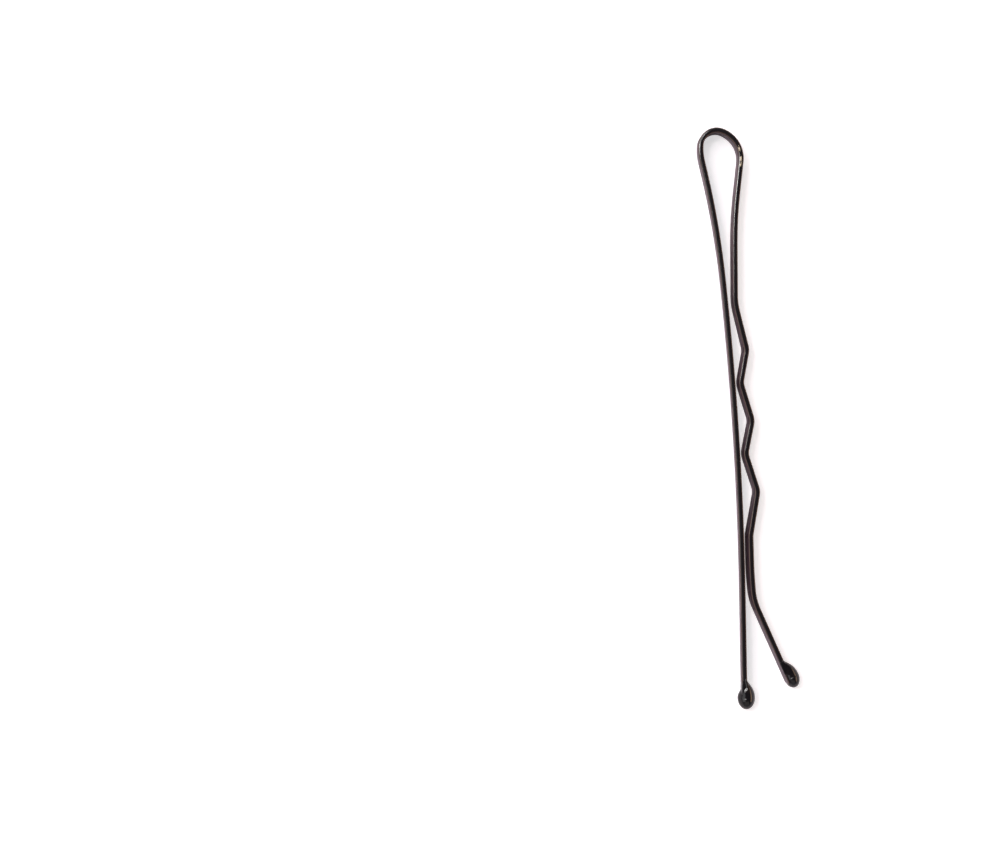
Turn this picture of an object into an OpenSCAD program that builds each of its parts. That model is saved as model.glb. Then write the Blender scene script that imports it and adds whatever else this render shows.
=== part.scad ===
// Bobby pin: one strip of spring steel, bent into a teardrop bow with a straight leg
// and a crimped leg, and a resin bead on each tip.
// The pin lies on its narrow edge. +X runs from the straight leg to the crimped leg,
// +Y towards the bow, +Z across the strip's width. All lengths are in millimetres.
// The origin is at the centre of the pin's outline, on the surface that it lies on.

/* [Strip] */
// Overall length, from the top of the bow to the end of the straight leg's bead
pin_len = 50.8; // [48:0.1:60]
// Thickness of the strip
strip_t = 0.45; // [0.35:0.01:0.55]
// Width of the strip
strip_w = 1.5; // [1.2:0.05:1.8]
// Height of the crown on the rounded narrow edges
edge_crown = 0.07; // [0.02:0.01:0.12]

/* [Bow] */
// Radius of the bow's long side, next to the straight leg, to the strip's middle
side_r = 4.8; // [3:0.1:7]
// Angle that the long side turns through
side_turn = 16.5; // [12:0.5:30]
// Radius of the bow's tight crown
crown_r = 1.38; // [1.1:0.01:1.7]
// Angle that the tight crown turns through
crown_turn = 108.5; // [95:0.5:120]
// Radius of the bow's shoulder, next to the crimped leg
shoulder_r = 2.53; // [2:0.01:3]

/* [Straight leg] */
// Straight run between the bow and the neck curve
neck_run = 1.2; // [0.5:0.1:3]
// Radius of the neck curve, just below the bow
neck_r = 76; // [50:1:120]
// Angle that the neck curve turns through
neck_turn = 7.2; // [4:0.1:9]
// Straight run between the neck curve and the long curve
mid_run = 0.6; // [0.2:0.1:2]
// Radius of the long curve beside the crimps
leg_r = 300; // [200:5:600]
// Angle that the long curve turns through
leg_turn = 5; // [3:0.1:6]

/* [Crimped leg] */
// Angle by which the run below the bow's shoulder slants towards the straight leg
slant_angle = 7.2; // [5:0.1:10]
// Length of that slanted run, to the middle of the shoulder bend
shoulder_run = 5; // [4:0.1:6]
// Radius of the shoulder bend
shoulder_bend_r = 38; // [20:1:45]
// Gap between the legs where hair enters the crimps
entry_gap = 0.34; // [0.25:0.01:0.6]
// Distance from the entry bend to the first crest
entry_len = 4.1; // [3:0.1:5]
// Radius of the entry bend
entry_r = 6; // [2:0.1:8]
// Number of crimps
crimp_count = 3; // [1:1:3]
// Distance from one crimp to the next
crimp_pitch = 6.15; // [5.2:0.05:6.4]
// Distance along the leg from a crest down to the valley below it
crimp_fall = 2.85; // [2.2:0.05:3.4]
// Height of a crest above the valleys
crimp_depth = 0.75; // [0.4:0.01:1]
// Radius of the bends at the crests and valleys
crimp_r = 1.5; // [0.8:0.05:2]
// Clearance between the valleys and the straight leg, at rest
rest_gap = 0.19; // [0.05:0.01:0.3]
// Extra height of the crest next to the land
last_crest_rise = 0.13; // [0:0.01:0.25]
// Distance along the leg from that crest down to the land
land_fall = 3.83; // [3.2:0.01:4.4]
// Clearance between the land and the straight leg, at rest
land_gap = 0.26; // [0.1:0.01:0.4]
// Length of the flat land that lies along the straight leg
land_len = 3.25; // [2.8:0.05:4.2]
// Length over which the land lifts off towards the splay
lift_len = 2.35; // [2.2:0.05:3]
// Height of that lift
lift_h = 0.15; // [0.1:0.01:0.3]
// Radius of the bend where the land lifts off
lift_r = 25; // [15:1:28]
// Distance from the straight leg's tip up to the splay bend
splay_pos = 9.15; // [8:0.05:10]
// Angle of the splayed end to the straight leg
splay_turn = 23; // [15:0.5:28]
// Radius of the splay bend
splay_r = 5.5; // [3:0.1:6]
// Length of the splayed end, from the middle of its bend
splay_len = 8.1; // [6:0.1:9]

/* [Beads] */
// Width of a bead in the plane of the pin
bead_t = 1.41; // [1.3:0.01:1.8]
// Width of a bead across the strip, which is also its height off the surface
bead_w = 1.86; // [1.84:0.01:2.2]
// Length from a bead's widest place to its end
bead_cap = 1.02; // [0.85:0.01:1.3]
// Length from a bead's widest place back to the point of its neck
bead_neck = 1.74; // [1.5:0.01:2.2]
// Resin beyond the end of the strip
bead_over = 0.45; // [0.3:0.01:0.6]
// How far the straight leg's bead hangs off centre, towards the crimped leg
straight_bead_shift = 0.175; // [0:0.005:0.3]
// How far the crimped leg's bead hangs off centre, away from the straight leg
crimped_bead_shift = 0.335; // [0.2:0.005:0.4]
// How far the flat side of that bead lies below the leg's inner face
bead_step = 0.01; // [0.005:0.005:0.05]

/* [Hidden] */
$fn = 96;
lacquer = [0.06, 0.05, 0.055];
resin = [0.03, 0.03, 0.035];
half_turn = 180;
quarter_turn = 90;
down = -quarter_turn;

// Every other piece of a strip is a hair slimmer and laps into its neighbours, and so
// does the slab in the middle of a bead, so that the pieces join into one solid
hair = 0.001;
lap = 0.03;

// A pose is [x, y, heading in degrees] of the strip's middle line, seen from above.
// Where a pose gets to after a straight feed
function ahead(p, feed) = [p.x + feed * cos(p.z), p.y + feed * sin(p.z), p.z];

// Centre of a bend that starts at a pose, where a positive turn is to the left
function bend_centre(p, r, turn) =
    [p.x - sign(turn) * r * sin(p.z), p.y + sign(turn) * r * cos(p.z)];

// Where a pose gets to after a bend
function turned(p, r, turn) =
    let (c = bend_centre(p, r, turn), h = p.z + turn)
    [c.x + sign(turn) * r * sin(h), c.y - sign(turn) * r * cos(h), h];

// A bend table has one row per bend: [feed before it, radius, turn].
// Where a pose gets to after the first n rows of a bend table
function after(p, table, n) =
    n == 0 ? p
    : let (q = after(p, table, n - 1), row = table[n - 1])
      turned(ahead(q, row[0]), row[1], row[2]);

// Point at a distance to the right of a pose
function beside(p, d) = [p.x + d * sin(p.z), p.y - d * cos(p.z)];

// The pose turned round to face the other way
function reversed(p) = [p.x, p.y, p.z + half_turn];

// Length of an arc, and the angle of an arc of a given length
function arc_len(r, turn) = r * abs(turn) * PI / half_turn;
function turn_for(r, arc) = arc * half_turn / PI / r;

// Bend tables of the straight leg and the bow, both from the joint between them
leg_bends = [[neck_run, neck_r, -neck_turn], [mid_run, leg_r, -leg_turn]];
bow_start_heading = down + neck_turn + leg_turn;
shoulder_heading = down - slant_angle;
shoulder_turn = bow_start_heading + half_turn - shoulder_heading - side_turn - crown_turn;
bow_bends = [[0, side_r, -side_turn], [0, crown_r, -crown_turn],
             [0, shoulder_r, -shoulder_turn]];

// The bow's reach to the left and upwards, from that joint
draft_start = [0, 0, bow_start_heading];
draft_side = reversed(draft_start);
draft_crown = after(draft_side, bow_bends, 1);
bow_left = bend_centre(draft_side, side_r, -side_turn).x - side_r - strip_t / 2;
bow_top = bend_centre(draft_crown, crown_r, -crown_turn).y + crown_r + strip_t / 2;

// The straight leg's last run takes up what the overall length leaves
draft_curved = after(draft_start, leg_bends, len(leg_bends));
tip_run = draft_curved.y - bow_top + pin_len - bead_over;
draft_tip = reversed(ahead(draft_curved, tip_run));

// Pose on the straight leg at a distance up from its tip, heading for the bow
leg_curve_end = tip_run + arc_len(leg_r, leg_turn);
neck_curve_start = leg_curve_end + mid_run;
neck_curve_end = neck_curve_start + arc_len(neck_r, neck_turn);
function leg_pose(s) =
    let (curve = ahead(draft_tip, tip_run), mid = turned(curve, leg_r, leg_turn),
         neck = ahead(mid, mid_run))
    s < tip_run ? ahead(draft_tip, s)
    : s < leg_curve_end ? turned(curve, leg_r, turn_for(leg_r, s - tip_run))
    : s < neck_curve_start ? ahead(mid, s - leg_curve_end)
    : s < neck_curve_end ? turned(neck, neck_r, turn_for(neck_r, s - neck_curve_start))
    : ahead(turned(neck, neck_r, neck_turn), s - neck_curve_end);

// Corners of the crimped leg before they are rounded: [point, bend radius].
// Each is set off from the straight leg's middle line, so that the legs stay in step.
function point(p) = [p.x, p.y];
function off_leg(pos, gap) = beside(leg_pose(pos), strip_t + gap);
lift_pos = splay_pos + lift_len;
land_pos = lift_pos + land_len;
last_crest_pos = land_pos + land_fall;
entry_pos = last_crest_pos + (crimp_count - 1) * crimp_pitch + entry_len;
function crest(i) = off_leg(last_crest_pos + i * crimp_pitch,
    rest_gap + crimp_depth + (i == 0 ? last_crest_rise : 0));
function valley(i) = i == 0 ? off_leg(land_pos, land_gap)
    : off_leg(last_crest_pos + i * crimp_pitch - crimp_fall, rest_gap);
bow_end = after(draft_side, bow_bends, len(bow_bends));
splay_corner = off_leg(splay_pos, land_gap + lift_h);
splay_end = ahead([splay_corner.x, splay_corner.y, down + splay_turn], splay_len);
leg_corners = [
    [point(bow_end), 0],
    [point(ahead(bow_end, shoulder_run)), shoulder_bend_r],
    [off_leg(entry_pos, entry_gap), entry_r],
    for (i = [crimp_count - 1 : -1 : 0]) each [[crest(i), crimp_r], [valley(i), crimp_r]],
    [off_leg(lift_pos, land_gap), lift_r],
    [splay_corner, splay_r],
    [point(splay_end), 0]
];

// Bend table of a line of rounded corners
last_corner = len(leg_corners) - 1;
function heading(a, b) = atan2(b.y - a.y, b.x - a.x);
function way(i) = heading(leg_corners[i][0], leg_corners[i + 1][0]);
function side_to_side(a) = a > half_turn ? a - 2 * half_turn
    : a < -half_turn ? a + 2 * half_turn : a;
function corner_turn(i) =
    i == 0 || i == last_corner ? 0 : side_to_side(way(i) - way(i - 1));
function tangent_len(i) = leg_corners[i][1] * tan(abs(corner_turn(i)) / 2);
crimp_bends = [for (i = [1 : last_corner])
    [norm(leg_corners[i][0] - leg_corners[i - 1][0]) - tangent_len(i - 1) - tangent_len(i),
     leg_corners[i][1], corner_turn(i)]];

// The widest place of the crimped leg's bead, and how far the bead reaches to the right
function bead_pose(tip, shift) =
    let (q = ahead(tip, bead_over - bead_cap)) concat(beside(q, -shift), [q.z]);
crimped_bead_draft = bead_pose(splay_end, crimped_bead_shift);
crimped_bead_reach = norm([bead_cap * sin(splay_turn), bead_t / 2 * cos(splay_turn)]);

// Moves the draft so that the pin's outline is centred on the origin
draft_right = crimped_bead_draft.x + crimped_bead_reach;
middle = [(bow_left + draft_right) / 2, bow_top - pin_len / 2];
function placed(p) = [p.x - middle.x, p.y - middle.y, p.z];
leg_start = placed(draft_start);
side_start = placed(draft_side);
crimped_start = placed(bow_end);
straight_tip = placed(reversed(draft_tip));
crimped_tip = placed(splay_end);
mid_height = bead_w / 2;

// Radius of the crowned narrow edges
edge_r = (pow(strip_t / 2, 2) + pow(edge_crown, 2)) / (2 * edge_crown);

// Section of the strip: flat wide faces and crowned narrow edges
module strip_section(slim = 0) {
    t = strip_t - 2 * slim;
    w = strip_w - 2 * slim;
    intersection() {
        square([t, w], center = true);
        union() {
            square([t, w - 2 * edge_crown], center = true);
            for (end = [-1, 1])
                translate([0, end * (w / 2 - edge_r)])
                    circle(edge_r);
        }
    }
}

// Puts children at a pose, with their own +X along its heading
module at_pose(p) {
    translate([p.x, p.y, mid_height])
        rotate([0, 0, p.z])
            children();
}

// Straight piece of the strip, from a pose
module strip_run(p, feed, slim = 0) {
    at_pose(p)
        rotate([90, 0, 90])
            linear_extrude(feed)
                strip_section(slim);
}

// Bent piece of the strip, from a pose, carried on by an angle before and beyond it
module strip_bend(p, r, turn, before, beyond, slim) {
    c = bend_centre(p, r, turn);
    from = turn > 0 ? p.z - quarter_turn - before : p.z + quarter_turn + turn - beyond;
    at_pose([c.x, c.y, from])
        rotate_extrude(angle = before + abs(turn) + beyond)
            translate([r, 0])
                strip_section(slim);
}

// Pieces of a strip formed by a bend table: [pose, length] of each run, and
// [pose, radius, turn] of each bend
function strip_pieces(start, table) = [
    for (i = [0 : len(table) - 1])
        let (p = after(start, table, i), row = table[i])
            each [
                if (row[0] > 0) [p, row[0]],
                if (row[2] != 0) [ahead(p, row[0]), row[1], row[2]]
            ]
];

// The strip, formed by a bend table
module formed_strip(start, table) {
    pieces = strip_pieces(start, table);
    for (i = [0 : len(pieces) - 1]) {
        piece = pieces[i];
        is_slim = i % 2 == 1;
        slim = is_slim ? hair : 0;
        before = is_slim ? lap : 0;
        beyond = is_slim && i < len(pieces) - 1 ? lap : 0;
        if (len(piece) == 2)
            strip_run(ahead(piece[0], -before), before + piece[1] + beyond, slim);
        else
            strip_bend(piece[0], piece[1], piece[2],
                turn_for(piece[1], before), turn_for(piece[1], beyond), slim);
    }
}

// Length of strip from its tip that a bead may reach
held_len = bead_cap + bead_neck;

// Steps along a bead's cap, and along its neck
drop_steps = 10;

// One side of a bead's outline, from the end of its cap to the point of its neck: the
// cap is a quarter of an ellipse, and the neck draws in along a parabola
function drop_side(slim) =
    let (r = bead_t / 2 - slim, cap = bead_cap - slim, neck = bead_neck - slim)
    concat(
        [for (i = [0 : drop_steps])
            let (a = quarter_turn * (1 - i / drop_steps)) [r * cos(a), cap * sin(a)]],
        [for (i = [1 : drop_steps])
            let (t = i / drop_steps) [r * (1 - pow(t, 2)), -neck * t]]
    );

// Drop of resin with its widest place at a pose and its cap towards the pose's heading:
// two half rounds with a slab between them
module drop(p) {
    rise = (bead_w - bead_t) / 2;
    at_pose(p)
        rotate([90, 0, 90]) {
            for (side = [0, 1])
                rotate([0, 0, side * half_turn])
                    translate([0, rise])
                        rotate_extrude(angle = half_turn)
                            polygon(drop_side(0));
            rotate([90, 0, 0])
                linear_extrude(2 * (rise + lap), center = true)
                    for (side = [0, 1])
                        mirror([side, 0])
                            polygon(drop_side(hair));
        }
}

// The end of the strip that a bead holds
module held_end(tip, slim = 0) {
    strip_run(ahead(tip, -held_len), held_len, slim);
}

// Straight leg: its flat outer face ends clear of the bead, where the slim held end starts
module straight_leg() {
    color(lacquer)
        formed_strip(leg_start,
            concat(leg_bends, [[tip_run - held_len, 0, 0], [held_len, 0, 0]]));
}

module bow() {
    color(lacquer)
        formed_strip(side_start, bow_bends);
}

module crimped_leg() {
    color(lacquer)
        formed_strip(crimped_start, crimp_bends);
}

// Bead that wraps the straight leg's tip all round
module straight_leg_bead() {
    color(resin)
        difference() {
            drop(bead_pose(straight_tip, straight_bead_shift));
            held_end(straight_tip, hair);
        }
}

// Bead on the outside of the crimped leg's tip, cut flat beside the leg's inner face
module crimped_leg_bead() {
    color(resin)
        difference() {
            intersection() {
                drop(bead_pose(crimped_tip, crimped_bead_shift));
                at_pose(crimped_tip)
                    translate([-2 * held_len, bead_step - strip_t / 2, -bead_w])
                        cube([3 * held_len, 2 * bead_t, 2 * bead_w]);
            }
            held_end(crimped_tip);
        }
}

straight_leg();
bow();
crimped_leg();
straight_leg_bead();
crimped_leg_bead();
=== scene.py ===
"""Bobby pin: the finished strip and its two resin beads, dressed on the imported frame.

The strip is formed again from the pin's driving sizes, with rounded edges, the slight
lean that forming leaves in it, and black lacquer. Pieces are modelled in millimetres
and shrunk to metres when they are done.
"""
import logging
import math
from collections.abc import Iterable, Iterator, Sequence
from contextlib import contextmanager
from dataclasses import dataclass, field, replace
from enum import Enum
from functools import cached_property
from typing import NamedTuple

import bpy
from mathutils import Matrix, Vector
from mathutils.kdtree import KDTree


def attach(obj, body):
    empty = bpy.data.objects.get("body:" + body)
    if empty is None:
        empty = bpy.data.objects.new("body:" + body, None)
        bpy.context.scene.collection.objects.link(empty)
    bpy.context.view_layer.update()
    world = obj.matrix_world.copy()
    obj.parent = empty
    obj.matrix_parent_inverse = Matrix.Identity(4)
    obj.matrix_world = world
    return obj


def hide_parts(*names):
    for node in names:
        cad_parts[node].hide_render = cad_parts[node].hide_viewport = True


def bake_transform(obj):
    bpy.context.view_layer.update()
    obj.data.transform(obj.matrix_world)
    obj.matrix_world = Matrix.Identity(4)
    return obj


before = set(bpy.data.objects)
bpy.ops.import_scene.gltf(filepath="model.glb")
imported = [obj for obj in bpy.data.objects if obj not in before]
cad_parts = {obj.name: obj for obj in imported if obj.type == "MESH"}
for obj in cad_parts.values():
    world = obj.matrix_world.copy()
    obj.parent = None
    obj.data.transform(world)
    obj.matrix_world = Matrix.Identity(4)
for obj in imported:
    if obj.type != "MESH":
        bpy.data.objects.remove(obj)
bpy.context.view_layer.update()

log = logging.getLogger("bobby_pin")

MM = 0.001
PER_MM = 1 / MM
HALF_TURN = 180.0
QUARTER_TURN = 90.0
DOWN = -QUARTER_TURN
TOO_THIN = 1e-6
ON_PLANE = 1e-5
OPAQUE = 1.0
STRIP_SPACE = "strip_space"
MIX_COLOURS = (6, 7)
MIX_RESULT = 2

Colour = tuple[float, float, float]
Place = tuple[float, float]
Piece = bpy.types.Object
Material = bpy.types.Material
Node = bpy.types.Node
Socket = bpy.types.NodeSocket


class Body(Enum):
    """The two rigid halves of the pin, by their names in the frame."""

    STRAIGHT = "straight_side"
    CRIMPED = "crimped_side"


class Slot(Enum):
    """Material slots of the frame's record."""

    STEEL = "lacquered_steel"
    RESIN = "tip_resin"


@dataclass(frozen=True)
class Pose:
    """Place and heading of the strip's middle line, seen from above, in mm and degrees."""

    x: float
    y: float
    heading: float

    @property
    def forward(self) -> Vector:
        """Unit vector along the heading."""
        a = math.radians(self.heading)
        return Vector((math.cos(a), math.sin(a), 0.0))

    @property
    def right(self) -> Vector:
        """Unit vector to the right of the heading."""
        a = math.radians(self.heading)
        return Vector((math.sin(a), -math.cos(a), 0.0))

    @property
    def place(self) -> Place:
        """The pose without its heading."""
        return self.x, self.y

    def ahead(self, feed: float) -> "Pose":
        """Returns the pose after a straight feed."""
        step = self.forward * feed
        return Pose(self.x + step.x, self.y + step.y, self.heading)

    def bend_centre(self, radius: float, turn: float) -> Place:
        """Returns the centre of a bend that starts here; a positive turn is to the left."""
        side = self.right * -math.copysign(radius, turn)
        return self.x + side.x, self.y + side.y

    def turned(self, radius: float, turn: float) -> "Pose":
        """Returns the pose after a bend.

        Args:
            radius: Radius of the bend at the middle line, in mm.
            turn: Angle of the bend in degrees, positive to the left.

        Returns:
            The pose at the bend's end.
        """
        centre = self.bend_centre(radius, turn)
        end = Pose(*centre, self.heading + turn)
        side = end.right * math.copysign(radius, turn)
        return Pose(centre[0] + side.x, centre[1] + side.y, end.heading)

    def beside(self, distance: float) -> Place:
        """Returns the point at a distance to the right."""
        side = self.right * distance
        return self.x + side.x, self.y + side.y

    def reversed(self) -> "Pose":
        """Returns the pose turned round to face the other way."""
        return Pose(self.x, self.y, self.heading + HALF_TURN)

    def moved(self, dx: float, dy: float) -> "Pose":
        """Returns the pose moved sideways, with its heading kept."""
        return Pose(self.x + dx, self.y + dy, self.heading)


class Station(NamedTuple):
    """A place that a strip's end face has passed, with its distance along and its lean."""

    along: float
    pose: Pose
    lean: float


@dataclass(frozen=True)
class Bend:
    """One row of a bend table: a feed, then a bend, and the strip's lean after them."""

    feed: float
    radius: float = 0.0
    turn: float = 0.0
    lean: float = 0.0

    @property
    def arc(self) -> float:
        """Length of the bend along the middle line."""
        return self.radius * abs(math.radians(self.turn))


@dataclass(frozen=True)
class Corner:
    """A corner of the crimped leg before it is rounded."""

    place: Place
    radius: float = 0.0
    lean: float = 0.0


def turn_for(radius: float, arc: float) -> float:
    """Returns the angle in degrees of an arc of that radius and length."""
    return math.degrees(arc / radius)


def eased(share: float) -> float:
    """Returns a share from 0 to 1, eased at both ends."""
    return share * share * (3 - 2 * share)


def steps_for(*shares: float) -> int:
    """Returns how many even steps bring each of these to one or less."""
    return max(1, math.ceil(max(shares)))


def follow(start: Pose, table: Iterable[Bend]) -> Pose:
    """Follows a bend table.

    Args:
        start: Pose before its first row.
        table: The rows.

    Returns:
        The pose after its last row.
    """
    pose = start
    for bend in table:
        pose = pose.ahead(bend.feed)
        if bend.turn:
            pose = pose.turned(bend.radius, bend.turn)
    return pose


def standing(pose: Pose, lean: float, height: float) -> Matrix:
    """Works out the transform from a piece's own axes to its place on the pin.

    Args:
        pose: Where the piece's origin goes and its +X axis points.
        lean: How far it leans about that axis, in degrees.
        height: Height of its origin, in mm.

    Returns:
        The transform.
    """
    spot = Matrix.Translation((pose.x, pose.y, height))
    turn = Matrix.Rotation(math.radians(pose.heading), 4, "Z")
    return spot @ turn @ Matrix.Rotation(math.radians(-lean), 4, "X")


@dataclass(frozen=True)
class PinSizes:
    """Driving sizes of the pin in mm and degrees, as its construction has them."""

    pin_len: float = 50.8
    strip_t: float = 0.45
    strip_w: float = 1.5
    side_r: float = 4.8
    side_turn: float = 16.5
    crown_r: float = 1.38
    crown_turn: float = 108.5
    shoulder_r: float = 2.53
    neck_run: float = 1.2
    neck_r: float = 76.0
    neck_turn: float = 7.2
    mid_run: float = 0.6
    leg_r: float = 300.0
    leg_turn: float = 5.0
    slant_angle: float = 7.2
    shoulder_run: float = 5.0
    shoulder_bend_r: float = 38.0
    entry_gap: float = 0.34
    entry_len: float = 4.1
    entry_r: float = 6.0
    crimp_count: int = 3
    crimp_pitch: float = 6.15
    crimp_fall: float = 2.85
    crimp_depth: float = 0.75
    crimp_r: float = 1.5
    rest_gap: float = 0.19
    last_crest_rise: float = 0.13
    land_fall: float = 3.83
    land_gap: float = 0.26
    land_len: float = 3.25
    lift_len: float = 2.35
    lift_h: float = 0.15
    lift_r: float = 25.0
    splay_pos: float = 9.15
    splay_turn: float = 23.0
    splay_r: float = 5.5
    splay_len: float = 8.1
    bead_t: float = 1.41
    bead_w: float = 1.86
    bead_cap: float = 1.02
    bead_neck: float = 1.74
    bead_over: float = 0.45
    straight_bead_shift: float = 0.175
    crimped_bead_shift: float = 0.335
    bead_step: float = 0.01

    @property
    def mid_height(self) -> float:
        """Height of the strip's middle above the surface that the pin lies on."""
        return self.bead_w / 2

    @property
    def held_len(self) -> float:
        """Length of strip from its tip that a bead may reach."""
        return self.bead_cap + self.bead_neck

    @property
    def hidden_end(self) -> float:
        """Length of strip beyond a bead's widest place, which no one sees."""
        return self.bead_cap - self.bead_over


@dataclass(frozen=True)
class StripLean:
    """How far the formed strip leans about its own length, in degrees.

    A positive lean turns the inner face, which looks at the other leg, towards +Z.
    """

    straight_tip: float = 2.0
    neck: float = 2.6
    bow: float = 0.0
    crimped_leg: float = 2.2
    crimps: float = 4.0
    land: float = 7.5
    splay: float = 5.0


@dataclass(frozen=True)
class PinLayout:
    """Bend tables and poses of the pin, worked out from its sizes.

    The draft has the joint of the straight leg and the bow at its origin.
    """

    sizes: PinSizes = PinSizes()
    lean: StripLean = StripLean()

    @property
    def leg_bends(self) -> list[Bend]:
        """Bends of the straight leg, from the bow down to its last run."""
        s = self.sizes
        return [
            Bend(s.neck_run, s.neck_r, -s.neck_turn, -self.lean.neck),
            Bend(s.mid_run, s.leg_r, -s.leg_turn, -self.lean.straight_tip),
        ]

    @property
    def bow_start_heading(self) -> float:
        """Heading down the straight leg at the bow."""
        return DOWN + self.sizes.neck_turn + self.sizes.leg_turn

    @property
    def shoulder_turn(self) -> float:
        """Angle of the bow's last bend, which closes the loop."""
        s = self.sizes
        return (self.bow_start_heading + HALF_TURN - DOWN + s.slant_angle
                - s.side_turn - s.crown_turn)

    @property
    def bow_bends(self) -> list[Bend]:
        """Bends of the bow, from the straight leg round to the crimped leg."""
        s, lean = self.sizes, self.lean
        return [
            Bend(0.0, s.side_r, -s.side_turn, lean.bow),
            Bend(0.0, s.crown_r, -s.crown_turn, lean.bow),
            Bend(0.0, s.shoulder_r, -self.shoulder_turn, lean.crimped_leg),
        ]

    @property
    def draft_start(self) -> Pose:
        """The joint of the straight leg and the bow, before it is placed."""
        return Pose(0.0, 0.0, self.bow_start_heading)

    @property
    def bow_left(self) -> float:
        """The bow's reach to the left in the draft."""
        s, side = self.sizes, self.draft_start.reversed()
        return side.bend_centre(s.side_r, -s.side_turn)[0] - s.side_r - s.strip_t / 2

    @property
    def bow_top(self) -> float:
        """The bow's reach upwards in the draft."""
        s, crown = self.sizes, follow(self.draft_start.reversed(), self.bow_bends[:1])
        return crown.bend_centre(s.crown_r, -s.crown_turn)[1] + s.crown_r + s.strip_t / 2

    @property
    def draft_curved(self) -> Pose:
        """Where the straight leg's last run starts in the draft."""
        return follow(self.draft_start, self.leg_bends)

    @cached_property
    def tip_run(self) -> float:
        """Length of the straight leg's last run."""
        s = self.sizes
        return self.draft_curved.y - self.bow_top + s.pin_len - s.bead_over

    def leg_pose(self, position: float) -> Pose:
        """Finds the pose on the straight leg at a distance up from its tip.

        Args:
            position: Distance along the leg's middle line, in mm.

        Returns:
            The pose there, heading for the bow.
        """
        s = self.sizes
        pose = self.draft_curved.ahead(self.tip_run).reversed()
        rows = [(self.tip_run, 0.0), (s.leg_r * math.radians(s.leg_turn), s.leg_r),
                (s.mid_run, 0.0), (s.neck_r * math.radians(s.neck_turn), s.neck_r)]
        for length, radius in rows:
            step = min(position, length)
            pose = pose.turned(radius, turn_for(radius, step)) if radius else pose.ahead(step)
            position -= step
            if position <= 0:
                return pose
        return pose.ahead(position)

    def off_leg(self, position: float, gap: float) -> Place:
        """Returns a point of the crimped leg's middle line, set off from the straight leg."""
        return self.leg_pose(position).beside(self.sizes.strip_t + gap)

    @cached_property
    def corners(self) -> list[Corner]:
        """Corners of the crimped leg in the draft, each set off from the straight leg.

        Returns:
            The corners, from the bow to the tip.
        """
        s, lean = self.sizes, self.lean
        lift_pos = s.splay_pos + s.lift_len
        land_pos = lift_pos + s.land_len
        last_crest_pos = land_pos + s.land_fall
        entry_pos = last_crest_pos + (s.crimp_count - 1) * s.crimp_pitch + s.entry_len
        bow_end = follow(self.draft_start.reversed(), self.bow_bends)
        rows = [
            Corner(bow_end.place, lean=lean.crimped_leg),
            Corner(bow_end.ahead(s.shoulder_run).place, s.shoulder_bend_r, lean.crimped_leg),
            Corner(self.off_leg(entry_pos, s.entry_gap), s.entry_r, lean.crimped_leg),
        ]
        for i in reversed(range(s.crimp_count)):
            crest_pos = last_crest_pos + i * s.crimp_pitch
            rise = 0.0 if i else s.last_crest_rise
            crest = self.off_leg(crest_pos, s.rest_gap + s.crimp_depth + rise)
            foot = (self.off_leg(crest_pos - s.crimp_fall, s.rest_gap) if i
                    else self.off_leg(land_pos, s.land_gap))
            rows += [Corner(crest, s.crimp_r, lean.crimps),
                     Corner(foot, s.crimp_r, lean.crimps if i else lean.land)]
        splay_corner = self.off_leg(s.splay_pos, s.land_gap + s.lift_h)
        splay_end = Pose(*splay_corner, DOWN + s.splay_turn).ahead(s.splay_len)
        return rows + [
            Corner(self.off_leg(lift_pos, s.land_gap), s.lift_r, lean.land),
            Corner(splay_corner, s.splay_r, lean.splay),
            Corner(splay_end.place, lean=lean.splay),
        ]

    @cached_property
    def crimp_bends(self) -> list[Bend]:
        """Bend table of the crimped leg, from its rounded corners.

        Returns:
            The rows, each from one corner's bend to the end of the next one's.
        """
        rows = self.corners
        ways = [math.degrees(math.atan2(b.place[1] - a.place[1], b.place[0] - a.place[0]))
                for a, b in zip(rows, rows[1:])]
        turns = [0.0] + [b - a for a, b in zip(ways, ways[1:])] + [0.0]
        tangents = [row.radius * math.tan(math.radians(abs(turn)) / 2)
                    for row, turn in zip(rows, turns)]
        return [
            Bend(math.dist(rows[i - 1].place, rows[i].place) - tangents[i - 1] - tangents[i],
                 rows[i].radius, turns[i], rows[i].lean)
            for i in range(1, len(rows))
        ]

    @cached_property
    def middle(self) -> Place:
        """Centre of the pin's outline in the draft.

        Returns:
            The middle between the bow and the crimped leg's bead, and of the pin's length.
        """
        s = self.sizes
        tip = Pose(*self.corners[-1].place, DOWN + s.splay_turn)
        bead_x = tip.ahead(s.bead_over - s.bead_cap).beside(-s.crimped_bead_shift)[0]
        splay = math.radians(s.splay_turn)
        reach = math.hypot(s.bead_cap * math.sin(splay), s.bead_t / 2 * math.cos(splay))
        return (self.bow_left + bead_x + reach) / 2, self.bow_top - s.pin_len / 2

    def placed(self, pose: Pose) -> Pose:
        """Returns a draft pose moved so that the pin's outline is centred on the origin."""
        return pose.moved(-self.middle[0], -self.middle[1])

    @property
    def leg_start(self) -> Pose:
        """Start of the straight leg at the bow."""
        return self.placed(self.draft_start)

    @property
    def crimped_start(self) -> Pose:
        """Start of the crimped leg at the bow."""
        return follow(self.leg_start.reversed(), self.bow_bends)

    @property
    def straight_tip(self) -> Pose:
        """Tip of the straight leg's strip, facing outwards."""
        return self.placed(self.draft_curved.ahead(self.tip_run))

    @property
    def crimped_tip(self) -> Pose:
        """Tip of the crimped leg's strip, facing outwards."""
        return self.placed(Pose(*self.corners[-1].place, DOWN + self.sizes.splay_turn))


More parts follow.
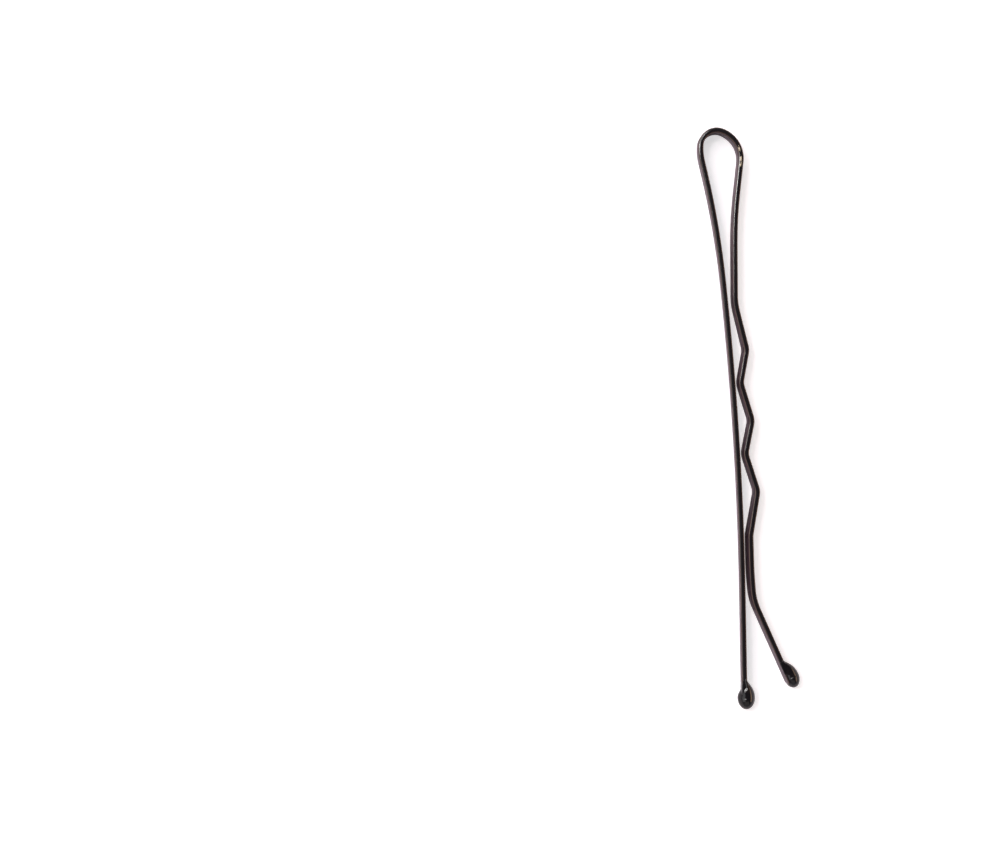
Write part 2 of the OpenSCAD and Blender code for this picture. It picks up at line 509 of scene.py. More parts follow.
class Bench:
    """Small helpers round Blender's modelling operators."""

    @staticmethod
    def pick(obj: Piece) -> None:
        """Makes one object the active one and the only selected one.

        Args:
            obj: The object.
        """
        bpy.ops.object.select_all(action="DESELECT")
        bpy.context.view_layer.objects.active = obj
        obj.select_set(True)

    @staticmethod
    @contextmanager
    def editing(obj: Piece, everything: bool = True) -> Iterator[None]:
        """Edits an object's mesh for as long as the block lasts.

        Args:
            obj: The object.
            everything: Whether all of it is selected; if not, its selection stays.

        Returns:
            The block's context.
        """
        Bench.pick(obj)
        bpy.ops.object.mode_set(mode="EDIT")
        if everything:
            bpy.ops.mesh.select_all(action="SELECT")
        yield
        bpy.ops.object.mode_set(mode="OBJECT")

    @staticmethod
    def place(obj: Piece, matrix: Matrix) -> None:
        """Puts an object at a transform and applies it to the mesh.

        Args:
            obj: The object.
            matrix: The transform.
        """
        Bench.pick(obj)
        obj.matrix_world = matrix
        bpy.ops.object.transform_apply(location=True, rotation=True, scale=True)

    @staticmethod
    def apply(obj: Piece, kind: str, **settings: object) -> None:
        """Adds a modifier, sets it up and applies it.

        Args:
            obj: The object.
            kind: Blender's name for the modifier.
            **settings: Values of its properties.
        """
        Bench.pick(obj)
        modifier = obj.modifiers.new(kind.lower(), kind)
        for key, value in settings.items():
            setattr(modifier, key, value)
        bpy.ops.object.modifier_apply(modifier=modifier.name)


@dataclass(frozen=True)
class StripSection:
    """Section of the rolled strip: flat wide faces and rounded narrow edges."""

    thickness: float
    width: float
    crown: float = 0.10
    vertices: int = 40

    def face(self, name: str) -> Piece:
        """Models the section as one face across the X axis.

        Args:
            name: Name of the new object.

        Returns:
            The object, with its face's normal along +X and its width along Z.
        """
        half = self.thickness / 2
        bpy.ops.mesh.primitive_circle_add(vertices=self.vertices, radius=half,
                                          fill_type="NGON")
        obj = bpy.context.object
        obj.name = obj.data.name = name
        Bench.place(obj, Matrix.Rotation(math.pi / self.vertices, 4, "Z"))
        Bench.place(obj, Matrix.Rotation(math.radians(QUARTER_TURN), 4, "Y"))
        with Bench.editing(obj):
            bpy.ops.transform.resize(value=(1, 1, self.crown / half),
                                     center_override=(0, 0, 0))
        for side in (-1, 1):
            for vertex in obj.data.vertices:
                vertex.select = vertex.co.z * side > 0
            for edge in obj.data.edges:
                edge.select = all(obj.data.vertices[i].select for i in edge.vertices)
            for polygon in obj.data.polygons:
                polygon.select = False
            with Bench.editing(obj, everything=False):
                rise = side * (self.width / 2 - self.crown)
                bpy.ops.transform.translate(value=(0, 0, rise))
        return obj


@dataclass
class FormedStrip:
    """A stretch of strip, formed from a section by a bend table as on a wire bender."""

    name: str
    section: StripSection
    start: Pose
    start_lean: float
    table: Sequence[Bend]
    mid_height: float
    start_along: float = 0.0
    run_step: float = 1.0
    bend_step: float = 2.5
    arc_step: float = 1.2
    stations: list[Station] = field(init=False, default_factory=list)

    def build(self) -> Piece:
        """Models the strip and marks each vertex with its place along the strip.

        Returns:
            The strip, in millimetres.
        """
        obj = self.section.face(self.name)
        Bench.place(obj, standing(self.start, self.start_lean, self.mid_height))
        self.stations = [Station(self.start_along, self.start, self.start_lean)]
        with Bench.editing(obj):
            for bend in self.table:
                self._form(bend)
            bpy.ops.mesh.select_all(action="SELECT")
            bpy.ops.mesh.normals_make_consistent(inside=False)
        self._mark(obj)
        return obj

    def _form(self, bend: Bend) -> None:
        """Takes the end face through one row of the table, leaning it evenly.

        Args:
            bend: The row.
        """
        whole = bend.feed + bend.arc
        slope = (bend.lean - self.stations[-1].lean) / whole if whole else 0.0
        runs = steps_for(bend.feed / self.run_step) if bend.feed > 0 else 0
        for _ in range(runs):
            pose, step = self.stations[-1].pose, bend.feed / runs
            move = {"value": tuple(pose.forward * step)}
            bpy.ops.mesh.extrude_region_move(TRANSFORM_OT_translate=move)
            self._arrive(pose.ahead(step), step, slope)
        parts = (steps_for(abs(bend.turn) / self.bend_step, bend.arc / self.arc_step)
                 if bend.turn else 0)
        for _ in range(parts):
            pose, turn, step = self.stations[-1].pose, bend.turn / parts, bend.arc / parts
            centre = pose.bend_centre(bend.radius, turn)
            bpy.ops.mesh.spin(steps=1, angle=-math.radians(turn), dupli=False,
                              center=(*centre, self.mid_height), axis=(0, 0, 1))
            self._arrive(pose.turned(bend.radius, turn), step, slope)

    def _arrive(self, pose: Pose, step: float, slope: float) -> None:
        """Leans the end face about the strip's length and notes the station.

        Args:
            pose: Where the end face now is.
            step: Length of strip since the last station, in mm.
            slope: How much the lean grows, in degrees for each mm.
        """
        last, change = self.stations[-1], slope * step
        if change:
            bpy.ops.transform.rotate(
                value=math.radians(change), orient_axis="Z", orient_type="NORMAL",
                center_override=(pose.x, pose.y, self.mid_height))
        self.stations.append(Station(last.along + step, pose, last.lean + change))

    def _mark(self, obj: Piece) -> None:
        """Stores each vertex's distance along, beside and above the strip's middle, in mm.

        Args:
            obj: The strip.
        """
        tree = KDTree(len(self.stations))
        for i, station in enumerate(self.stations):
            tree.insert((*station.pose.place, self.mid_height), i)
        tree.balance()
        marks = obj.data.attributes.new(STRIP_SPACE, "FLOAT_VECTOR", "POINT")
        for vertex, mark in zip(obj.data.vertices, marks.data):
            flat = Vector((vertex.co.x, vertex.co.y, self.mid_height))
            along, pose, lean = self.stations[tree.find(flat)[1]]
            offset = vertex.co - Vector((*pose.place, self.mid_height))
            angle = math.radians(lean)
            right, up = offset.dot(pose.right), offset.z
            mark.vector = (along + offset.dot(pose.forward),
                           right * math.cos(angle) + up * math.sin(angle),
                           up * math.cos(angle) - right * math.sin(angle))


class Ring(NamedTuple):
    """One ring of a drop: its place, its middle, its reach from there, and its neck share."""

    x: float
    middle: float
    high: float
    low: float
    half_h: float
    drawn: float


@dataclass
class TipBead:
    """A drop of resin that dips over the end of a leg, with the film it draws up the strip."""

    name: str
    sizes: PinSizes
    tip: Pose
    lean: float
    shift: float
    cut_flat: bool
    swell: float
    slot_end: float
    height: float = 1.80
    outer_neck: float = 0.62
    neck_power: int = 2
    taper_power: int = 4
    film: float = 0.03
    film_thinning: float = 3.2
    thinning_from: float = 0.5
    fillet: float = 0.16
    corner_power: float = 9.0
    recentred_by: float = 60.0
    ridge_start: float = 0.32
    ridge_sink: float = 0.16
    segments: int = 96
    rings: int = 72
    pole: float = 0.01
    neck_end: float = 0.9999
    rim: float = 0.025
    rim_segments: int = 3

    @property
    def widest(self) -> float:
        """Place of the drop's widest ring, from the strip's tip."""
        return self.sizes.bead_over - self.sizes.bead_cap

    @property
    def half_t(self) -> float:
        """Half of the drop's thickness at its widest ring."""
        return self.sizes.bead_t / 2 + self.swell

    def build(self) -> Piece:
        """Models the bead round the strip's end.

        Returns:
            The bead, in millimetres.
        """
        bpy.ops.mesh.primitive_uv_sphere_add(segments=self.segments, ring_count=self.rings,
                                             radius=1.0)
        obj = bpy.context.object
        obj.name = obj.data.name = self.name
        Bench.place(obj, Matrix.Rotation(math.radians(QUARTER_TURN), 4, "Y"))
        for vertex in obj.data.vertices:
            vertex.co = self._drawn(vertex.co)
        Bench.apply(obj, "SUBSURF", levels=1, render_levels=1)
        if self.cut_flat:
            self._cut_flat(obj)
        self._cut_slot(obj)
        Bench.place(obj, standing(self.tip, self.lean, self.sizes.mid_height))
        return obj

    def _drawn(self, point: Vector) -> Vector:
        """Moves a point of the unit sphere to the drop's surface.

        Args:
            point: Point of the sphere, whose +X pole is the end of the cap.

        Returns:
            The point on the drop, with the strip's tip at the origin and +X outwards.
        """
        latitude = math.asin(max(-1.0, min(1.0, point.x)))
        ring = self._cap(latitude) if latitude >= 0 else self._neck(latitude)
        if latitude >= math.radians(QUARTER_TURN - self.pole):
            return Vector((ring.x, self.shift, 0.0))
        if ring.drawn > self.neck_end:
            return Vector((ring.x, 0.0, 0.0))
        angle = math.atan2(point.z, point.y)
        radius = self._blended(self._ellipse(angle, ring), self._sleeve(angle, ring.drawn))
        return Vector((ring.x, ring.middle + radius * math.cos(angle),
                       radius * math.sin(angle)))

    def _cap(self, latitude: float) -> Ring:
        """Works out a ring between the drop's widest place and its end.

        Args:
            latitude: Angle of the ring on the sphere, from 0 at the widest place.

        Returns:
            The ring, whose middle moves over to the drop's own middle near the end.
        """
        middle = self.shift * min(1.0, latitude / math.radians(self.recentred_by))
        share = math.cos(latitude)
        return Ring(self.widest + self.sizes.bead_cap * math.sin(latitude), middle,
                    self.shift + self.half_t * share - middle,
                    self.shift - self.half_t * share - middle,
                    self.height / 2 * share, 0.0)

    def _neck(self, latitude: float) -> Ring:
        """Works out a ring between the drop's widest place and the end of its neck.

        Args:
            latitude: Angle of the ring on the sphere, below 0.

        Returns:
            The ring, round the strip's middle; its low side stays within the film.
        """
        s = self.sizes
        drawn = -latitude / math.radians(QUARTER_TURN)
        share = 1 - drawn ** self.neck_power
        sunk = s.strip_t / 2 - self.film - self.shift
        high = sunk + (self.half_t * share - sunk) * (1 - drawn ** self.taper_power)
        low = self.half_t * (1 - min(1.0, drawn / self.outer_neck) ** self.neck_power)
        half_h = s.strip_w / 2 + (self.height / 2 - s.strip_w / 2) * share - self.film
        return Ring(self.widest - s.bead_neck * drawn, 0.0, self.shift + high,
                    min(self.shift - low, -self.film), half_h, drawn)

    def _ellipse(self, angle: float, ring: Ring) -> float:
        """Finds how far an ellipse through a ring's reaches goes from the ring's middle.

        Args:
            angle: Angle round the middle.
            ring: The ring, whose ellipse may lie off its middle.

        Returns:
            The reach in mm, or nothing where the ring is too thin or lies elsewhere.
        """
        centre, half_w = (ring.high + ring.low) / 2, (ring.high - ring.low) / 2
        if half_w < TOO_THIN or ring.half_h < TOO_THIN:
            return 0.0
        c, s = math.cos(angle), math.sin(angle)
        a = (c / half_w) ** 2 + (s / ring.half_h) ** 2
        b = -2 * centre * c / half_w ** 2
        root = b * b - 4 * a * ((centre / half_w) ** 2 - 1)
        return (-b + math.sqrt(root)) / (2 * a) if root > 0 else 0.0

    def _sleeve(self, angle: float, drawn: float) -> float:
        """Finds how far the film on the strip reaches from the strip's middle.

        Args:
            angle: Angle round the strip's middle line.
            drawn: Share of the neck that lies behind, from 0 at the bead's widest place.

        Returns:
            The reach in mm, which grows from nothing at the bead's widest place.
        """
        if drawn <= 0:
            return 0.0
        s = self.sizes
        rise = eased(min(1.0, drawn / self.ridge_start))
        thinning = self.film_thinning * max(0.0, drawn - self.thinning_from)
        film = self.film * (1 - thinning) * rise
        sink = self.ridge_sink * (1 - rise)
        half_t, half_w = s.strip_t / 2 + film - sink, s.strip_w / 2 + film - sink
        n = self.corner_power
        return ((abs(math.cos(angle)) / half_t) ** n
                + (abs(math.sin(angle)) / half_w) ** n) ** (-1 / n)

    def _blended(self, drop: float, sleeve: float) -> float:
        """Joins two reaches with a fillet.

        Args:
            drop: Reach of the drop.
            sleeve: Reach of the film.

        Returns:
            The greater of the two, and a little more where they are alike.
        """
        if sleeve <= 0:
            return drop
        mix = max(0.0, min(1.0, 0.5 + (drop - sleeve) / (2 * self.fillet)))
        return sleeve + (drop - sleeve) * mix + self.fillet * mix * (1 - mix)

    def _cut_flat(self, obj: Piece) -> None:
        """Cuts the drop flat beside the strip's inner face and rounds the cut's rim.

        Args:
            obj: The drop.
        """
        face_y = self.sizes.bead_step - self.sizes.strip_t / 2
        with Bench.editing(obj):
            bpy.ops.mesh.bisect(plane_co=(0, face_y, 0), plane_no=(0, 1, 0), use_fill=True,
                                clear_inner=True)
        vertices = obj.data.vertices
        for edge in obj.data.edges:
            edge.select = all(abs(vertices[i].co.y - face_y) < ON_PLANE for i in edge.vertices)
        with Bench.editing(obj, everything=False):
            bpy.ops.mesh.bevel(offset=self.rim, segments=self.rim_segments, affect="EDGES")

    def _cut_slot(self, obj: Piece) -> None:
        """Cuts the slot that the strip's end fills.

        Args:
            obj: The drop.
        """
        s = self.sizes
        plug = StripSection(s.strip_t, s.strip_w).face(self.name + "_slot")
        Bench.place(plug, Matrix.Translation((-s.held_len - self.slot_end, 0, 0)))
        move = {"value": (s.held_len, 0, 0)}
        with Bench.editing(plug):
            bpy.ops.mesh.extrude_region_move(TRANSFORM_OT_translate=move)
            bpy.ops.mesh.select_all(action="SELECT")
            bpy.ops.mesh.normals_make_consistent(inside=False)
        Bench.apply(obj, "BOOLEAN", operation="DIFFERENCE", solver="MANIFOLD", object=plug)
        bpy.data.meshes.remove(plug.data)


@dataclass(frozen=True)
class Span:
    """A smooth step: a value goes from low to high, and the result from start to end."""

    low: float
    high: float
    start: float = 0.0
    end: float = 1.0


@dataclass(frozen=True)
class Grain:
    """A noise, by its scale along each axis, its detail and its roughness."""

    scale: tuple[float, float, float]
    detail: float
    roughness: float = 0.5


@dataclass(frozen=True)
class Relief:
    """A bump, by its strength and its depth in metres."""

    strength: float
    depth: float


class Graph:
    """A node tree, with short ways to add and join nodes."""

    def __init__(self, tree: bpy.types.NodeTree) -> None:
        """Takes over a node tree and empties it."""
        self.tree = tree
        self.tree.nodes.clear()

    def add(self, kind: str, *values: object, **settings: object) -> Node:
        """Adds a node.

        Args:
            kind: Blender's name for the node.
            *values: What its first inputs are set to or linked to.
            **settings: Values of its properties.

        Returns:
            The node.
        """
        node = self.tree.nodes.new(kind)
        for key, value in settings.items():
            setattr(node, key, value)
        for target, value in zip(node.inputs, values):
            self.feed(target, value)
        return node

    def join(self, source: Socket, target: Socket) -> None:
        """Links two sockets."""
        self.tree.links.new(source, target)

    def feed(self, target: Socket, value: object) -> None:
        """Links or sets an input, whichever the value is.

        Args:
            target: The input.
            value: A socket, a number, or a colour without its alpha.
        """
        if isinstance(value, Socket):
            self.join(value, target)
        elif isinstance(value, tuple):
            target.default_value = (*value, OPAQUE)
        else:
            target.default_value = value

    def split(self, vector: Socket) -> list[Socket]:
        """Returns a vector's X, Y and Z."""
        return list(self.add("ShaderNodeSeparateXYZ", vector).outputs)

    def maths(self, operation: str, *values: object) -> Socket:
        """Returns the result of a Math node on sockets or numbers."""
        return self.add("ShaderNodeMath", *values, operation=operation).outputs[0]

    def ramp(self, value: Socket, span: Span) -> Socket:
        """Returns the smooth step that a span makes of a value."""
        numbers = (value, span.low, span.high, span.start, span.end)
        return self.add("ShaderNodeMapRange", *numbers,
                        interpolation_type="SMOOTHSTEP").outputs[0]

    def noise(self, vector: Socket, grain: Grain) -> Socket:
        """Adds a noise with a scale of its own along each axis.

        Args:
            vector: Coordinates that it reads.
            grain: Its scale, detail and roughness.

        Returns:
            The noise, from 0 to 1.
        """
        mapping = self.add("ShaderNodeMapping", vector)
        mapping.inputs["Scale"].default_value = grain.scale
        node = self.add("ShaderNodeTexNoise", mapping.outputs["Vector"])
        node.inputs["Scale"].default_value = 1.0
        node.inputs["Detail"].default_value = grain.detail
        node.inputs["Roughness"].default_value = grain.roughness
        return node.outputs["Fac"]

    def blend(self, share: object, first: object, second: object) -> Socket:
        """Mixes two colours.

        Args:
            share: Share of the second colour.
            first: A colour or a socket.
            second: A colour or a socket.

        Returns:
            The mixed colour.
        """
        node = self.add("ShaderNodeMix", share, data_type="RGBA")
        for index, colour in zip(MIX_COLOURS, (first, second)):
            self.feed(node.inputs[index], colour)
        return node.outputs[MIX_RESULT]


class Shader(Graph):
    """The node tree of a new material, round one Principled BSDF."""

    def __init__(self, name: str) -> None:
        """Makes the material.

        Args:
            name: Its name.
        """
        self.material = bpy.data.materials.new(name)
        self.material.use_nodes = True
        super().__init__(self.material.node_tree)
        self.surface = self.add("ShaderNodeBsdfPrincipled")
        output = self.add("ShaderNodeOutputMaterial")
        self.join(self.surface.outputs["BSDF"], output.inputs["Surface"])

    def put(self, name: str, value: object) -> None:
        """Sets or links a socket of the Principled BSDF."""
        self.feed(self.surface.inputs[name], value)

    def bump(self, height: Socket, relief: Relief) -> None:
        """Bumps the surface, on top of any bump that it has.

        Args:
            height: Height of the surface, from 0 to 1.
            relief: Strength and depth of the bump.
        """
        node = self.add("ShaderNodeBump")
        node.inputs["Strength"].default_value = relief.strength
        node.inputs["Distance"].default_value = relief.depth
        self.join(height, node.inputs["Height"])
        normal = self.surface.inputs["Normal"]
        if normal.is_linked:
            self.join(normal.links[0].from_socket, node.inputs["Normal"])
        self.join(node.outputs["Normal"], normal)


@dataclass(frozen=True)
class Scuff:
    """A short rubbed line, by the distance along of its middle and its half length, in mm."""

    along: float
    half: float


@dataclass(frozen=True)
class LacquerFinish:
    """Gloss black lacquer on spring steel. Its rounded corners are brownish, partly from thin
    lacquer and partly a painted warm edge highlight. Its wide faces carry a painted lilac
    reflection of the table.
    """

    name: str = "black_lacquer"
    body: Colour = (0.008, 0.0062, 0.0072)
    # Painted reflection: a lilac tone on the wide faces stands in for the pale table that they
    # mirror.
    face_painted_reflection: Colour = (0.034, 0.022, 0.028)
    # Brown at the rounded corners: partly thin lacquer, partly a painted warm edge highlight.
    brown_tint: Colour = (0.095, 0.050, 0.032)
    bare: Colour = (0.72, 0.61, 0.44)
    bloom: float = 0.16
    bloom_tint: Colour = (1.0, 0.55, 0.80)
    bloom_roughness: float = 0.35
    refraction: float = 1.6
    wide_face: Span = Span(0.13, 0.20)
    rounding: Span = Span(0.12, 0.20)
    rounded_edge: Span = Span(0.62, 0.69)
    # How much of the painted lilac reflection the noise leaves on the wide faces.
    painted_reflection_share: Span = Span(0.30, 0.70, 0.7, 1.0)
    # How much of the corners the noise turns brown: partly wear, partly painted edge
    # highlight.
    wear_and_glint_share: Span = Span(0.30, 0.62, 0.35, 1.0)
    edge_to_face_gloss: Span = Span(0.0, 1.0, 0.15, 0.36)
    dulled: Span = Span(0.50, 0.80, 0.0, 0.08)
    scuff_dulls: float = 0.3
    drift: Grain = Grain((0.8, 3.0, 3.0), 4.0)
    rolling: Grain = Grain((1.2, 22.0, 22.0), 2.0)
    fine: Grain = Grain((7.0, 9.0, 9.0), 3.0, 0.6)
    rolling_relief: Relief = Relief(0.10, 0.003 * MM)
    fine_relief: Relief = Relief(0.14, 0.006 * MM)
    scuffs: tuple[Scuff, ...] = (Scuff(6.14, 0.30), Scuff(7.30, 0.52))
    scuff_side: float = 0.04
    scuff_core: float = 0.55
    scuff_line: Span = Span(0.085, 0.045)
    scuff_top: Span = Span(0.60, 0.68)
    scuff_ragged: Span = Span(0.40, 0.50)

    def material(self) -> Material:
        """Builds the material on the strip's own lengthwise coordinates in mm.

        Returns:
            The material.
        """
        shader = Shader(self.name)
        strip = shader.add("ShaderNodeAttribute", attribute_name=STRIP_SPACE).outputs["Vector"]
        along, side, height = shader.split(strip)
        off_middle = shader.maths("ABSOLUTE", side)
        off_mid_height = shader.maths("ABSOLUTE", height)
        drift = shader.noise(strip, self.drift)
        fine = shader.noise(strip, self.fine)
        face = shader.ramp(off_middle, self.wide_face)
        # Painted reflection: the wide faces get a lilac tone, broken up by noise.
        painted_reflection_share = shader.maths("MULTIPLY", face, shader.ramp(drift, self.painted_reflection_share))
        # The rounded corners turn brown, broken up by noise: partly thin lacquer, partly a
        # painted warm edge highlight.
        corner = shader.maths("MULTIPLY", shader.ramp(off_middle, self.rounding),
                              shader.ramp(off_mid_height, self.rounded_edge))
        wear_and_glint_share = shader.maths("MULTIPLY", corner, shader.ramp(drift, self.wear_and_glint_share))
        scuffed = self._scuffed(shader, along, side, height, fine)
        # Base colour: black body, the painted lilac reflection on the wide faces, then the
        # brown corners.
        tone = shader.blend(wear_and_glint_share, shader.blend(painted_reflection_share, self.body, self.face_painted_reflection), self.brown_tint)
        shader.put("Base Color", shader.blend(scuffed, tone, self.bare))
        gloss = shader.maths("ADD", shader.ramp(face, self.edge_to_face_gloss),
                             shader.ramp(fine, self.dulled))
        dulled = shader.maths("MULTIPLY", scuffed, self.scuff_dulls)
        shader.put("Roughness", shader.maths("ADD", gloss, dulled))
        shader.bump(shader.noise(strip, self.rolling), self.rolling_relief)
        shader.bump(fine, self.fine_relief)
        shader.put("Sheen Weight", self.bloom)
        shader.put("Sheen Tint", self.bloom_tint)
        shader.put("Sheen Roughness", self.bloom_roughness)
        shader.put("IOR", self.refraction)
        return shader.material

    def _scuffed(self, shader: Shader, along: Socket, side: Socket, height: Socket,
                 fine: Socket) -> Socket:
        """Masks where the bow's shoulder is rubbed through to the pale undercoat.

        Args:
            shader: The material's nodes.
            along: Distance along the strip, in mm.
            side: Distance beside its middle line.
            height: Distance above it.
            fine: The noise that breaks up the mask's edge.

        Returns:
            The mask, 1 where the lacquer is gone.
        """
        reach: object = 0.0
        for scuff in self.scuffs:
            away = shader.maths("ABSOLUTE", shader.maths("SUBTRACT", along, scuff.along))
            fade = Span(scuff.half, scuff.half * self.scuff_core)
            reach = shader.maths("MAXIMUM", reach, shader.ramp(away, fade))
        off_line = shader.maths("ABSOLUTE", shader.maths("SUBTRACT", side, self.scuff_side))
        mask = shader.maths("MULTIPLY", reach, shader.ramp(off_line, self.scuff_line))
        mask = shader.maths("MULTIPLY", mask, shader.ramp(height, self.scuff_top))
        return shader.maths("MULTIPLY", mask, shader.ramp(fine, self.scuff_ragged))


@dataclass(frozen=True)
class ResinFinish:
    """Gloss black resin of the dipped tips, with a trace of brown where it is thin."""

    name: str = "dipped_resin"
    body: Colour = (0.006, 0.005, 0.006)
    brown_tint: Colour = (0.030, 0.020, 0.017)
    refraction: float = 1.52
    flow: Grain = Grain((0.9 * PER_MM,) * 3, 3.0)
    skin: Grain = Grain((7.0 * PER_MM,) * 3, 2.0)
    thinned: Span = Span(0.45, 0.80)
    gloss: Span = Span(0.35, 0.80, 0.05, 0.11)
    flow_relief: Relief = Relief(0.12, 0.03 * MM)
    skin_relief: Relief = Relief(0.10, 0.004 * MM)

    def material(self) -> Material:
        """Builds the material on object coordinates in metres.

        Returns:
            The material.
        """
        shader = Shader(self.name)
        place = shader.add("ShaderNodeTexCoord").outputs["Object"]
        flow = shader.noise(place, self.flow)
        skin = shader.noise(place, self.skin)
        tone = shader.blend(shader.ramp(flow, self.thinned), self.body, self.brown_tint)
        shader.put("Base Color", tone)
        shader.put("Roughness", shader.ramp(skin, self.gloss))
        shader.bump(flow, self.flow_relief)
        shader.bump(skin, self.skin_relief)
        shader.put("IOR", self.refraction)
        return shader.material


@dataclass
class BobbyPin:
    """The strip in its three stretches and the beads on its tips."""

    layout: PinLayout
    leg_marks_from: float = 100.0
    open_end: float = 0.20
    straight_swell: float = 0.05
    crimped_swell: float = -0.004
    smooth_angle: float = 35.0
    lacquer: LacquerFinish = LacquerFinish()
    resin: ResinFinish = ResinFinish()

    def build(self) -> None:
        """Builds, dresses and mounts every piece."""
        self._build_strip(self.lacquer.material())
        self._build_beads(self.resin.material())

    def _build_strip(self, lacquer: Material) -> None:
        """Builds the two legs and the bow between them.

        Args:
            lacquer: Material of the strip.
        """
        lay, lean, sizes = self.layout, self.layout.lean, self.layout.sizes
        section = StripSection(sizes.strip_t, sizes.strip_w)
        last_run = Bend(lay.tip_run - sizes.hidden_end, lean=-lean.straight_tip)
        leg = FormedStrip("straight_leg_strip", section, lay.leg_start, -lean.bow,
                          [*lay.leg_bends, last_run], sizes.mid_height,
                          self.leg_marks_from).build()
        self._mount(leg, lacquer, "straight_leg")
        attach(leg, Body.STRAIGHT.value)
        *rows, splay = lay.crimp_bends
        rows.append(replace(splay, feed=splay.feed - self.open_end))
        crimped = FormedStrip("crimped_leg_strip", section, lay.crimped_start,
                              lean.crimped_leg, rows, sizes.mid_height,
                              sum(bend.arc for bend in lay.bow_bends)).build()
        self._mount(crimped, lacquer, "crimped_leg")
        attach(crimped, Body.CRIMPED.value)
        bow = FormedStrip("bow_strip", section, lay.leg_start.reversed(), lean.bow,
                          lay.bow_bends, sizes.mid_height).build()
        self._mount(bow, lacquer, "bow")
        self._blend_bow(bow)

    def _blend_bow(self, bow: Piece) -> None:
        """Bakes the bow's place into its mesh.

        Args:
            bow: The bow's strip.
        """
        left, right = self.layout.leg_start, self.layout.crimped_start
        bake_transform(bow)

    def _build_beads(self, resin: Material) -> None:
        """Builds the beads on the two tips.

        Args:
            resin: Material of the beads.
        """
        lay, lean, sizes = self.layout, self.layout.lean, self.layout.sizes
        straight = TipBead("straight_leg_resin", sizes, lay.straight_tip, -lean.straight_tip,
                           sizes.straight_bead_shift, cut_flat=False,
                           swell=self.straight_swell, slot_end=sizes.hidden_end)
        crimped = TipBead("crimped_leg_resin", sizes, lay.crimped_tip, lean.splay,
                          sizes.crimped_bead_shift, cut_flat=True,
                          swell=self.crimped_swell, slot_end=self.open_end)
        for bead, node, body in ((straight, "straight_leg_bead", Body.STRAIGHT),
                                 (crimped, "crimped_leg_bead", Body.CRIMPED)):
            piece = bead.build()
            self._mount(piece, resin, node)
            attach(piece, body.value)

    def _mount(self, obj: Piece, material: Material,
               node: str) -> None:
        """Shrinks a piece to metres, smooths and dresses it, and lets it stand for a node.

        Args:
            obj: The piece, in millimetres.
            material: Its finish.
            node: The frame's node that it replaces.
        """
        Bench.place(obj, Matrix.Scale(MM, 4))
        bpy.ops.object.shade_smooth_by_angle(angle=math.radians(self.smooth_angle))
        Bench.apply(obj, "WEIGHTED_NORMAL", keep_sharp=True)
        obj.data.materials.clear()
        obj.data.materials.append(material)
        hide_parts(node)
        size = [round(side / MM, 2) for side in obj.dimensions]
        log.info("%s: %d faces, %s mm, stands for %s", obj.name, len(obj.data.polygons),
                 size, node)


@dataclass(frozen=True)
class Softbox:
    """A soft rectangular lamp that looks at the pin, by its direction, size and power."""

    name: str
    azimuth: float
    elevation: float
    size: tuple[float, float]
    watts: float
    colour: Colour = (1.0, 1.0, 1.0)
    distance: float = 1.0

    def hang(self) -> None:
        """Adds the lamp to the scene."""
        a, e = math.radians(self.azimuth), math.radians(self.elevation)
        spot = Vector((math.cos(e) * math.cos(a), math.cos(e) * math.sin(a), math.sin(e)))
        light = bpy.data.lights.new(self.name, "AREA")
        light.shape = "RECTANGLE"
        light.size, light.size_y = self.size
        light.energy = self.watts
        light.color = self.colour
        lamp = bpy.data.objects.new(self.name, light)
        lamp.location = spot * self.distance
        lamp.rotation_euler = spot.to_track_quat("Z", "Y").to_euler()
        bpy.context.scene.collection.objects.link(lamp)


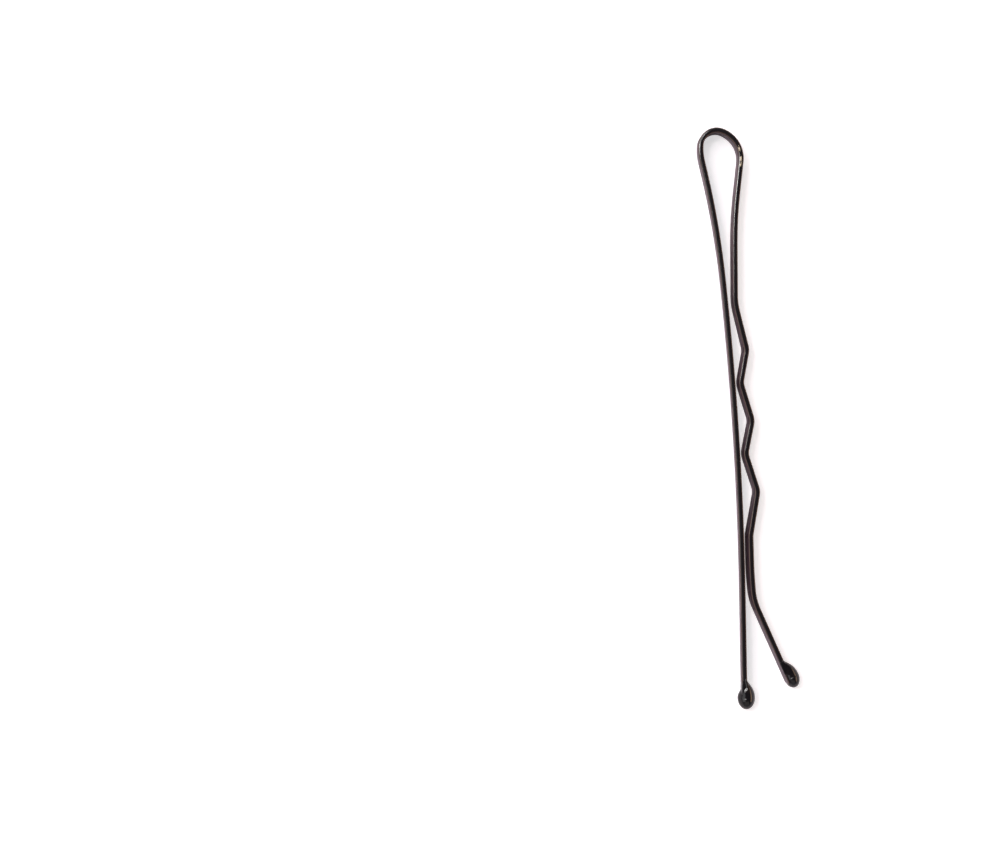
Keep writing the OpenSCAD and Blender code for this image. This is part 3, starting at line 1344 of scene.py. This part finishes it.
@dataclass(frozen=True)
class Studio:
    """White table, soft lamps, and the camera straight above."""

    floor_side: float = 3.0
    floor_white: Colour = (0.78, 0.74, 0.77)
    floor_roughness: float = 0.9
    glow: float = 0.58
    zenith: Colour = (0.07, 0.07, 0.08)
    horizon: Colour = (0.50, 0.48, 0.52)
    sky_rise: Span = Span(0.05, 0.45)
    camera_height: float = 0.16093
    camera_place: Place = (-0.0218, -0.0009)
    camera_roll: float = -1.05
    clip_start: float = 0.01
    focal_px: float = 1830.0
    frame_px: float = 999.0
    sensor: float = 36.0
    lamps: tuple[Softbox, ...] = (
        Softbox("side_softbox", azimuth=186.0, elevation=40.0, size=(1.1, 0.8), watts=3.0),
        Softbox("corner_softbox", azimuth=134.0, elevation=44.0, size=(0.7, 0.9), watts=6.0,
                colour=(1.0, 0.92, 0.92)),
        Softbox("window_softbox", azimuth=151.0, elevation=64.0, size=(0.12, 0.12), watts=1.5),
        Softbox("top_softbox", azimuth=105.0, elevation=70.0, size=(0.10, 0.10), watts=0.6),
        Softbox("head_softbox", azimuth=92.0, elevation=38.0, size=(1.2, 0.7), watts=0.9),
        Softbox("foot_softbox", azimuth=268.0, elevation=38.0, size=(1.2, 0.7), watts=1.1,
                colour=(1.0, 0.94, 0.88)),
        Softbox("warm_side", azimuth=0.0, elevation=20.0, size=(1.2, 0.3), watts=3.4,
                colour=(1.0, 0.66, 0.44)),
    )

    def build(self) -> None:
        """Adds the floor, the surroundings, the lamps and the camera."""
        self._floor()
        self._surroundings()
        for lamp in self.lamps:
            lamp.hang()
        self._camera()
        bpy.context.scene.view_settings.view_transform = "Standard"

    def _floor(self) -> None:
        """Adds the white table top, which glows a little to the camera alone."""
        bpy.ops.mesh.primitive_plane_add(size=self.floor_side)
        floor = bpy.context.object
        floor.name = floor.data.name = "table_top"
        shader = Shader("white_table")
        shader.put("Base Color", self.floor_white)
        shader.put("Roughness", self.floor_roughness)
        shader.put("Specular IOR Level", 0.0)
        seen = shader.add("ShaderNodeLightPath").outputs["Is Camera Ray"]
        shader.put("Emission Color", (1.0, 1.0, 1.0))
        shader.put("Emission Strength", shader.maths("MULTIPLY", seen, self.glow))
        floor.data.materials.append(shader.material)

    def _surroundings(self) -> None:
        """Lights the scene from a room that is pale at the horizon and dim overhead."""
        world = bpy.data.worlds.new("soft_room")
        bpy.context.scene.world = world
        world.use_nodes = True
        room = Graph(world.node_tree)
        height = room.split(room.add("ShaderNodeTexCoord").outputs["Generated"])[-1]
        sky = room.add("ShaderNodeBackground")
        share = room.ramp(height, self.sky_rise)
        room.feed(sky.inputs["Color"], room.blend(share, self.horizon, self.zenith))
        room.join(sky.outputs[0], room.add("ShaderNodeOutputWorld").inputs[0])

    def _camera(self) -> None:
        """Adds the camera straight above the table, with the pin near the frame's right."""
        data = bpy.data.cameras.new("overhead_camera")
        data.sensor_width = self.sensor
        data.lens = self.sensor * self.focal_px / self.frame_px
        data.clip_start = self.clip_start
        camera = bpy.data.objects.new("overhead_camera", data)
        camera.location = (*self.camera_place, self.camera_height)
        camera.rotation_euler = (0.0, 0.0, math.radians(self.camera_roll))
        bpy.context.scene.collection.objects.link(camera)
        bpy.context.scene.camera = camera


def main() -> None:
    """Builds the pin and its studio."""
    logging.basicConfig(level=logging.INFO, format="%(name)s: %(message)s")
    BobbyPin(PinLayout()).build()
    Studio().build()


if __name__ == "__main__":
    main()
